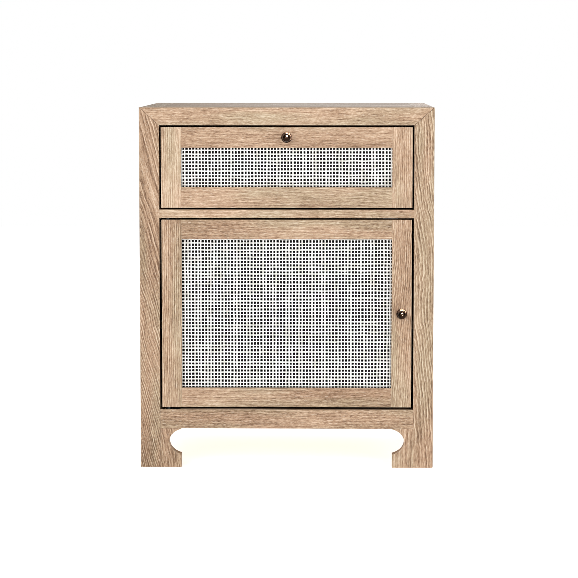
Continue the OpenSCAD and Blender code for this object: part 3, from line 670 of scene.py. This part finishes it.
# How each board is cut. The order is that of the seeds
OAK_BOARDS = {
    "post_front_left": Cut("zxy", tone=-0.21, slant=-16, ring_gap=3.9 * MM, ring=0.42, wave=1.1),
    "post_front_right": Cut("zxy", tone=-0.04, slant=-5, ring_gap=4.2 * MM, ring=0.42, wave=1.8),
    "post_rear_left": Cut("zxy", tone=-0.05, slant=5, ring_gap=4.2 * MM, ring=0.38),
    "post_rear_right": Cut("zxy", tone=-0.03, slant=-4, ring_gap=4.2 * MM, ring=0.38),
    "top_rail_front": Cut("xzy", tone=-0.01, ring_gap=9 * MM, ring=0.06, fleck=1.0, wave=0.7),
    "top_rail_rear": Cut("xzy", tone=-0.02, slant=1),
    "top_rail_left": Cut("yzx", slant=1),
    "top_rail_right": Cut("yzx", tone=0.02, slant=-1),
    # The top panel's lower tone is painted shade: its face is darkened because less light falls on the
    # top than on the front
    "top_panel": Cut("xyz", tone=-0.12, slant=1, ring_gap=9 * MM, ring=0.24),
    "side_panel_left": Cut("zyx", tone=-0.04, slant=2, ring_gap=12 * MM, ring=0.24),
    "side_panel_right": Cut("zyx", tone=-0.02, slant=-2, ring_gap=12 * MM, ring=0.24),
    "apron_front": Cut("xzy", tone=-0.18, ring=0.10, fleck=1.2),
    "apron_rear": Cut("xzy", tone=-0.05, slant=1),
    "apron_left": Cut("yzx", tone=-0.06),
    "apron_right": Cut("yzx", tone=-0.04, slant=1),
    "foot_bracket_front_left": Cut("zxy", tone=-0.08, slant=-8, ring_gap=5 * MM, ring=0.20),
    "foot_bracket_front_right": Cut("zxy", tone=-0.04, slant=3, ring_gap=7 * MM, ring=0.26),
    "foot_brackets_left": Cut("zyx", tone=-0.06, slant=4),
    "foot_brackets_right": Cut("zyx", tone=-0.03, slant=-4),
    "mid_rail": Cut("xzy", tone=-0.03, ring=0.10, fleck=1.0),
    "shelf": Cut("xyz", slant=1, ring_gap=11 * MM, ring=0.20),
    "drawer_stile_left": Cut("zxy", tone=0.03, slant=1, ring_gap=3.4 * MM, ring=0.24, wave=0.5),
    "drawer_stile_right": Cut("zxy", tone=0.08, slant=-1, ring_gap=3.4 * MM, ring=0.24, wave=0.5),
    "drawer_rail_top": Cut("xzy", tone=-0.09, slant=0.5, ring=0.08, fleck=1.0, wave=0.7),
    "drawer_rail_bottom": Cut("xzy", tone=-0.11, ring=0.10, fleck=0.9, wave=0.7),
    "door_stile_left": Cut("zxy", tone=-0.06, slant=1, ring_gap=3.4 * MM, ring=0.40, wave=0.5),
    "door_stile_right": Cut("zxy", tone=-0.07, slant=4, ring_gap=3.8 * MM, ring=0.32),
    "door_rail_top": Cut("xzy", tone=-0.09, ring=0.10, fleck=0.9, wave=0.8),
    "door_rail_bottom": Cut("xzy", tone=-0.12, slant=0.5, ring=0.12, fleck=1.0, wave=0.8),
}
BOX_BOARDS = {
    "drawer_box_front": Cut("xzy"),
    "drawer_box_back": Cut("xzy", tone=0.04),
    "drawer_box_left": Cut("yzx", tone=0.05),
    "drawer_box_right": Cut("yzx"),
    "runner_blocks": Cut("zyx"),
}
PLYWOOD_BOARDS = {
    "divider_panel": Cut("xyz", ring_gap=14 * MM),
    "bottom_panel": Cut("xyz", tone=-0.03, ring_gap=14 * MM),
    "back_panel": Cut("zxy", tone=-0.02, ring_gap=16 * MM),
    "drawer_bottom": Cut("xyz", tone=0.04, ring_gap=14 * MM),
}
DRAWER_FRONT = ["drawer_stile_left", "drawer_stile_right", "drawer_rail_top", "drawer_rail_bottom"]
DOOR_FRONT = ["door_stile_left", "door_stile_right", "door_rail_top", "door_rail_bottom"]
DRAWER_BOX = ["drawer_box_front", "drawer_box_back", "drawer_box_left", "drawer_box_right"]
# Boards that are eased by their own box and not by the case's
OWN_ARRISES = ["side_panel_left", "side_panel_right", "shelf"]
FIRST_SEED = 12


def ease_boards():
    case = ease_weights("ease_case", (CASE_LOW, CASE_HIGH), CASE_RADII)
    drawer = ease_weights("ease_drawer", around(DRAWER_FRONT), PANEL_RADII)
    door = ease_weights("ease_door", around(DOOR_FRONT), PANEL_RADII)
    box = ease_weights("ease_box", around(DRAWER_BOX), BOX_RADII)
    for node in OAK_BOARDS:
        if node in DRAWER_FRONT:
            ease(node, *drawer)
        elif node in DOOR_FRONT:
            ease(node, *door)
        elif node in OWN_ARRISES:
            ease(node, *ease_weights("ease_" + node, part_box(node), PANEL_RADII))
        else:
            ease(node, *case)
    for node in DRAWER_BOX:
        ease(node, *box)


def dress_boards():
    seed = FIRST_SEED
    for group, timber, plied in (
        (OAK_BOARDS, OAK, False), (BOX_BOARDS, BIRCH, False), (PLYWOOD_BOARDS, BIRCH, True)
    ):
        for node, cut in group.items():
            dress(NODES[node], add_timber("wood_" + node, timber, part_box(node), cut, seed, plied))
            seed += 1


# ---- Pieces made here -----------------------------------------------------------------------


def add_mesh(name, vertices, faces, smooth=True):
    mesh = bpy.data.meshes.new(name)
    mesh.from_pydata(vertices, [], faces)
    mesh.validate()
    mesh.polygons.foreach_set("use_smooth", [smooth] * len(mesh.polygons))
    obj = bpy.data.objects.new(name, mesh)
    bpy.context.scene.collection.objects.link(obj)
    return obj


def tube_faces(rings, steps):
    """The faces of a tube of that many rings, closed at both ends, whose corners go round each
    ring in turn."""
    faces = []
    for ring in range(rings - 1):
        for step in range(steps):
            after = (step + 1) % steps
            a, b = ring * steps + step, ring * steps + after
            faces.append((a, b, b + steps, a + steps))
    last = (rings - 1) * steps
    faces.append(tuple(reversed(range(steps))))
    faces.append(tuple(range(last, last + steps)))
    return faces


def merge(shapes):
    """The corners and faces of several shapes as one."""
    vertices = []
    faces = []
    for corners, sides in shapes:
        faces += [tuple(corner + len(vertices) for corner in side) for side in sides]
        vertices += corners
    return vertices, faces


def lathe(axis_x, axis_z, face_y, profile, steps):
    """A turned shape on a line that runs forwards from face_y. Each point of the profile is how
    far it stands from the face, and its radius."""
    vertices = []
    for out, radius in profile:
        for step in range(steps):
            turn = math.tau * step / steps
            vertices.append(
                (axis_x + radius * math.cos(turn), face_y - out, axis_z + radius * math.sin(turn))
            )
    return vertices, tube_faces(len(profile), steps)


def arc(middle_out, middle_radius, size, first, last, steps):
    """Profile points on an arc of that radius, from one angle to another. Angle 0 points away
    from the turning axis and 90 points forwards."""
    angles = [math.radians(first + (last - first) * step / steps) for step in range(steps + 1)]
    return [(middle_out + size * math.sin(a), middle_radius + size * math.cos(a)) for a in angles]


# The knob, in the same sizes as the CAD knob, with its base ring moulded
KNOB_REACH = 27.0 * MM
KNOB_BALL = 15.5 * MM
KNOB_BASE = 20.0 * MM
KNOB_BASE_T = 2.6 * MM
KNOB_NECK = 7.6 * MM
KNOB_BACK = 0.05 * MM        # clear of the face it stands on
KNOB_CAP = 0.4 * MM          # the radius of the cap that closes its back
KNOB_STEP = 0.5 * MM         # the height of the small step inside the base ring
KNOB_STEP_TOP = 2.7 * MM     # how far in from the base's edge that step's top and foot lie
KNOB_STEP_FOOT = 2.4 * MM
KNOB_COVE = 2.6 * MM         # the radius of the hollow between the step and the neck
KNOB_BEAD = 0.9 * MM         # the radius of the bead under the ball
KNOB_BEAD_BACK = 1.3 * MM    # how far its middle lies behind where the ball is as wide
KNOB_TUCK = 0.96             # where the ball starts, as a share of the neck's radius
KNOB_STEPS = 64


def knob_profile():
    edge = KNOB_BASE_T / 2
    base = KNOB_BASE / 2
    ball = KNOB_BALL / 2
    ball_out = KNOB_REACH - ball
    neck = KNOB_NECK / 2
    step_out = KNOB_BASE_T + KNOB_STEP
    profile = [(KNOB_BACK, KNOB_CAP), (KNOB_BACK, base - edge)]
    profile += arc(edge, base - edge, edge, -90, 90, 12)[1:]
    profile += [(KNOB_BASE_T, base - KNOB_STEP_FOOT), (step_out, base - KNOB_STEP_TOP)]
    profile += arc(step_out + KNOB_COVE, neck + KNOB_COVE, KNOB_COVE, 270, 180, 8)[1:]
    collar = ball_out - math.sqrt(ball ** 2 - (neck + KNOB_BEAD) ** 2)
    profile += arc(collar - KNOB_BEAD_BACK, neck, KNOB_BEAD, -75, 75, 8)
    start = math.degrees(math.asin(-(ball ** 2 - (neck * KNOB_TUCK) ** 2) ** 0.5 / ball))
    profile += arc(ball_out, 0.0, ball, start, 89.0, 30)
    return profile


def add_knob(name, node, body, metal):
    low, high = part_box(node)
    middle = (low + high) / 2
    made = add_mesh(name, *lathe(middle.x, middle.z, high.y, knob_profile(), KNOB_STEPS))
    dress(made, metal)
    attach(made, body)
    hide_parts(node)
    return made


def add_knobs():
    # The knobs' very dark colour is partly painted shade that dims what they reflect
    bronze = add_metal("bronze", BRONZE_AND_SHADE_BROWNS, roughness=0.075, axis="z", scratches=0.004 * MM)
    return [
        add_knob("drawer_knob_turned", "drawer_knob", "drawer", bronze),
        add_knob("door_knob_turned", "door_knob", "door", bronze),
    ]


# ---- Woven cane -------------------------------------------------------------------------------

CANE_PITCH_X = 6.22 * MM
CANE_PITCH_Z = 6.52 * MM
CANE_WIDTH = 2.55 * MM
CANE_T = 1.0 * MM
CANE_RISE = 0.52 * MM       # how far a strand rises and falls about the middle of the weave
RINGS_PER_PITCH = 4
STRAND_SIDES = 6
STRAND_WANDER = 0.30 * MM   # how far a whole strand lies off its place
STRAND_WAVE = 0.36 * MM     # how far it wanders along its length
WAVE_PITCHES = 3            # how many pitches long each stretch of that is
STRAND_WIDTHS = (0.93, 1.07)  # the narrowest and the widest strand, as shares of the usual width
STRAND_FLAT = 0.55          # how wide a strand's flat faces are, as a share of its width
PRESSED = 0.10              # how much wider a strand is where it crosses another
SWELL = 0.06                # how much its width changes by chance
SWELL_PITCHES = 2           # how many pitches long each stretch of that is

# Each weave's front and body, how far right of and below the upper left corner of the front's
# opening the middle of its first whole hole lies, and its seed
WEAVES = (
    ("drawer", "drawer", 4.4 * MM, 2.4 * MM, 101),
    ("door", "door", 2.6 * MM, 4.9 * MM, 201),
)


def smooth_luck(luck, count, gap):
    """A list of smoothly changing values from -1 to 1, with a new target every few places."""
    targets = [luck.uniform(-1, 1) for _ in range(count // gap + 3)]
    values = []
    for i in range(count):
        part, share = divmod(i / gap, 1)
        share = share * share * (3 - 2 * share)
        values.append(targets[int(part)] * (1 - share) + targets[int(part) + 1] * share)
    return values


def strand_section(width, thickness):
    """The corners of a flattened strand: across it, and out of the weave."""
    half_w, half_t = width / 2, thickness / 2
    flat = half_w * STRAND_FLAT
    return [
        (-half_w, 0.0), (-flat, half_t), (flat, half_t), (half_w, 0.0), (flat, -half_t), (-flat, -half_t)
    ]


def add_strands(name, upright, places, crossings, low, high, weave_y, seed):
    """Strands that lie side by side at places and run from low to high, over and under the
    strands at the crossings. upright strands run along z and the others along x."""
    luck = random.Random(seed)
    pitch = CANE_PITCH_Z if upright else CANE_PITCH_X
    rings = int((high - low) / pitch * RINGS_PER_PITCH) + 1
    faces = tube_faces(rings + 1, STRAND_SIDES)
    if not upright:
        faces = [face[::-1] for face in faces]
    strands = []
    for index, place in enumerate(places):
        middle = place + luck.uniform(-1, 1) * STRAND_WANDER
        width = CANE_WIDTH * luck.uniform(*STRAND_WIDTHS)
        wave = smooth_luck(luck, rings + 1, WAVE_PITCHES * RINGS_PER_PITCH)
        swell = smooth_luck(luck, rings + 1, SWELL_PITCHES * RINGS_PER_PITCH)
        side = 1 if (index % 2 == 0) == upright else -1
        corners = []
        for ring in range(rings + 1):
            run = min(low + ring * pitch / RINGS_PER_PITCH, high)
            crossing = (run - crossings[0]) / pitch
            rise = side * CANE_RISE * math.cos(math.pi * crossing)
            flat = 1 + PRESSED * math.cos(math.tau * crossing) + SWELL * swell[ring]
            for across, out in strand_section(width * flat, CANE_T):
                sideways = middle + wave[ring] * STRAND_WAVE + across
                depth = weave_y - rise - out
                corners.append((sideways, depth, run) if upright else (run, depth, sideways))
        strands.append((corners, faces))
    return add_mesh(name, *merge(strands))


def strand_places(first_hole, pitch, low, high):
    """The places of the strands that lie half a pitch each side of the holes."""
    start = first_hole - pitch / 2
    start -= math.floor((start - low) / pitch) * pitch
    count = int((high - start) / pitch) + 1
    return [start + i * pitch for i in range(count)]


def add_weave(front, body, first_hole_x, first_hole_z, seed, paints):
    """The woven panel of a front, in the place of its plain CAD plate. The first whole hole's
    middle gives where the weave lies."""
    node = front + "_cane"
    low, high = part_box(node)
    weave_y = (low.y + high.y) / 2
    edge = CANE_WIDTH / 2 + STRAND_WANDER + STRAND_WAVE
    uprights = strand_places(first_hole_x, CANE_PITCH_X, low.x + edge, high.x - edge)
    courses = strand_places(first_hole_z, CANE_PITCH_Z, low.z + edge, high.z - edge)
    standing = add_strands(
        node + "_upright_strands", True, uprights, courses, low.z, high.z, weave_y, seed
    )
    lying = add_strands(
        node + "_level_strands", False, courses, uprights, low.x, high.x, weave_y, seed + 1
    )
    for strands, paint in ((standing, paints[0]), (lying, paints[1])):
        dress(strands, paint)
        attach(strands, body)
        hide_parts(node)


def add_cane():
    paints = add_cane_paint("cane_paint_upright", "z"), add_cane_paint("cane_paint_level", "x")
    for front, body, right, down, seed in WEAVES:
        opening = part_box(front + "_rail_top")[0].z
        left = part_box(front + "_stile_left")[1].x
        add_weave(front, body, left + right, opening - down, seed, paints)


# ---- Joint lines ---------------------------------------------------------------------------------

GLUE_WIDTH = 1.0 * MM
FOOT_GLUE_WIDTH = 0.45 * MM
GLUE_DEPTH = 0.06 * MM      # below the faces that meet at the joint
GLUE_THICKNESS = 1.0 * MM
GLUE_INSET = 2.2 * MM       # from the rounded corner, where a mitre line starts
GLUE_GAP = 0.3 * MM         # from a joint's end, where a foot line starts and every line ends


def strip(start, end, outward, width):
    """The corners and faces of a thin glue strip along a joint, sunk under the face that looks
    outward."""
    run = (end - start).normalized()
    side = run.cross(outward) * (width / 2)
    top = outward * -GLUE_DEPTH
    bottom = outward * -(GLUE_DEPTH + GLUE_THICKNESS)
    corners = [start - side, start + side, end + side, end - side]
    vertices = [tuple(corner + top) for corner in corners]
    vertices += [tuple(corner + bottom) for corner in corners]
    faces = [(0, 1, 2, 3), (7, 6, 5, 4)]
    faces += [(i, i + 4, (i + 1) % 4 + 4, (i + 1) % 4) for i in range(4)]
    return vertices, faces


def mitre_lines():
    """Start, end and outward direction of every mitre line at the case's upper corners."""
    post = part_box("post_front_left")
    rail_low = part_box("top_rail_front")[0].z
    post_w = post[1].x - post[0].x
    lines = []
    for side in (-1, 1):
        corner_x = CASE_HIGH.x * side
        inner_x = corner_x - post_w * side
        for y, inner_y, out_y in (
            (CASE_LOW.y, CASE_LOW.y + post_w, -1),
            (CASE_HIGH.y, CASE_HIGH.y - post_w, 1),
        ):
            top = CASE_HIGH.z
            corner = Vector((corner_x, y, top))
            lines.append((corner, Vector((inner_x, y, rail_low)), Vector((0, out_y, 0))))
            lines.append((corner, Vector((corner_x, inner_y, rail_low)), Vector((side, 0, 0))))
            lines.append((corner, Vector((inner_x, inner_y, top)), Vector((0, 0, 1))))
    return lines


def foot_lines():
    """Start, end and outward direction of the joints between the front brackets and the legs,
    and between them and the apron."""
    lines = []
    for side, bracket in ((-1, "foot_bracket_front_left"), (1, "foot_bracket_front_right")):
        low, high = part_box(bracket)
        post_x = high.x if side > 0 else low.x
        inner_x = low.x + high.x - post_x
        foot = Vector((post_x, FRONT_Y, 0.0))
        top = Vector((post_x, FRONT_Y, high.z))
        lines.append((foot, top, Vector((0, -1, 0))))
        lines.append((top, Vector((inner_x, FRONT_Y, high.z)), Vector((0, -1, 0))))
    return lines


def add_glue(name, lines, inset, width, material):
    strips = []
    for start, end, outward in lines:
        run = (end - start).normalized()
        strips.append(strip(start + run * inset, end - run * GLUE_GAP, outward, width))
    glue = dress(add_mesh(name, *merge(strips), smooth=False), material)
    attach(glue, "case")


def add_glue_lines():
    dried = add_dried_glue("glue_line")
    add_glue("mitre_glue_lines", mitre_lines(), GLUE_INSET, GLUE_WIDTH, dried)
    add_glue("foot_glue_lines", foot_lines(), GLUE_GAP, FOOT_GLUE_WIDTH, dried)


# ---- Metal, plastic and board nodes ------------------------------------------------------------

# The runners, the hinge leaves and the shelf pins, with the axis that their marks run along. Their black
# is partly painted shade where they show in the gaps
BLACK_STEEL_NODES = {
    "case_runner_left": "y", "case_runner_right": "y",
    "middle_runner_left": "y", "middle_runner_right": "y",
    "drawer_runner_left": "y", "drawer_runner_right": "y",
    "hinge_leaves_case": "x", "hinge_leaves_door": "x", "shelf_pins": "x",
}
ZINC_NODES = (
    "back_panel_screws", "catch_magnet", "catch_strike",
    "drawer_front_screws", "drawer_knob_screw", "door_knob_screw",
)


def dress_fittings():
    """Gives back the zinc, for the screw heads."""
    black = {axis: add_black_steel("black_steel_along_" + axis, axis) for axis in "xy"}
    for node, axis in BLACK_STEEL_NODES.items():
        dress(NODES[node], black[axis])
    zinc = add_metal("zinc", ZINC_GREYS, roughness=0.24, axis="x", scratches=0.02 * MM)
    for node in ZINC_NODES:
        dress(NODES[node], zinc)
    dress(NODES["catch_housing"], add_moulded_plastic("catch_plastic"))
    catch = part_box("catch_housing")
    ease("catch_housing", *ease_weights("ease_catch", catch, CATCH_RADII))
    # The black backing behind both weaves is partly painted shade, seen through the holes
    board = add_black_board("black_board")
    dress(NODES["drawer_cane_backing"], board)
    dress(NODES["door_cane_backing"], board)
    return zinc


# A flat screw head: its dome, and the cross recess that a driver fits
HEAD_DOME = 0.5 * MM
RECESS_SHARE = 0.55         # of the head's radius
RECESS_WIDTH = 0.9 * MM
RECESS_DEPTH = 0.9 * MM
RECESS_TAPER = 0.6          # how much shallower it is at its ends, as a share of its depth
HEAD_RINGS = 14
HEAD_STEPS = 64


def solids_of(node):
    """The lowest and highest corners of each separate solid in a node's mesh."""
    mesh = NODES[node].data
    owner = {}

    def root(spot):
        while owner[spot] != spot:
            owner[spot] = owner[owner[spot]]
            spot = owner[spot]
        return spot

    spots = [tuple(round(part, 6) for part in vertex.co) for vertex in mesh.vertices]
    for spot in spots:
        owner[spot] = spot
    for edge in mesh.edges:
        first, second = (root(spots[i]) for i in edge.vertices)
        owner[first] = second
    groups = {}
    for spot in dict.fromkeys(spots):
        groups.setdefault(root(spot), []).append(spot)
    boxes = [
        (Vector(map(min, zip(*group))), Vector(map(max, zip(*group)))) for group in groups.values()
    ]
    return sorted(boxes, key=lambda box: tuple(box[0]))


def screw_head(middle, radius):
    """The corners and faces of a closed screw head that looks along y, to the back."""
    corners = []
    for ring in range(1, HEAD_RINGS + 1):
        share = ring / HEAD_RINGS
        for step in range(HEAD_STEPS):
            turn = math.tau * step / HEAD_STEPS
            x, z = radius * share * math.cos(turn), radius * share * math.sin(turn)
            height = HEAD_DOME * (1 - share ** 2)
            if min(abs(x), abs(z)) < RECESS_WIDTH / 2 and share < RECESS_SHARE:
                height -= RECESS_DEPTH * (1 - share / RECESS_SHARE * RECESS_TAPER)
            corners.append((middle.x + x, middle.y + height, middle.z + z))
    rim = corners[-HEAD_STEPS:]
    corners += [(x, middle.y - 2 * RECESS_DEPTH, z) for x, _, z in rim]
    return corners, [face[::-1] for face in tube_faces(HEAD_RINGS + 1, HEAD_STEPS)]


def add_screw_heads(node, body, metal):
    """Recessed heads on the rear ends of a node's screws, which lie along y."""
    shapes = []
    for low, high in solids_of(node):
        middle = (low + high) / 2
        middle.y = high.y
        shapes.append(screw_head(middle, (high.x - low.x) / 2))
    heads = dress(add_mesh(node + "_heads", *merge(shapes)), metal)
    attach(heads, body)


FLOOR_REACH = 6.0            # to each side of the middle


def add_floor():
    reach = FLOOR_REACH
    corners = [(-reach, -reach, 0), (reach, -reach, 0), (reach, reach, 0), (-reach, reach, 0)]
    floor = dress(add_mesh("floor", corners, [(0, 1, 2, 3)]), add_pale_floor("studio_floor"))


add_camera()
add_lights()
add_floor()
ease_boards()
dress_boards()
zinc = dress_fittings()
add_screw_heads("back_panel_screws", "case", zinc)
add_screw_heads("drawer_front_screws", "drawer", zinc)
add_cane()
add_glints(add_knobs())
add_glue_lines()
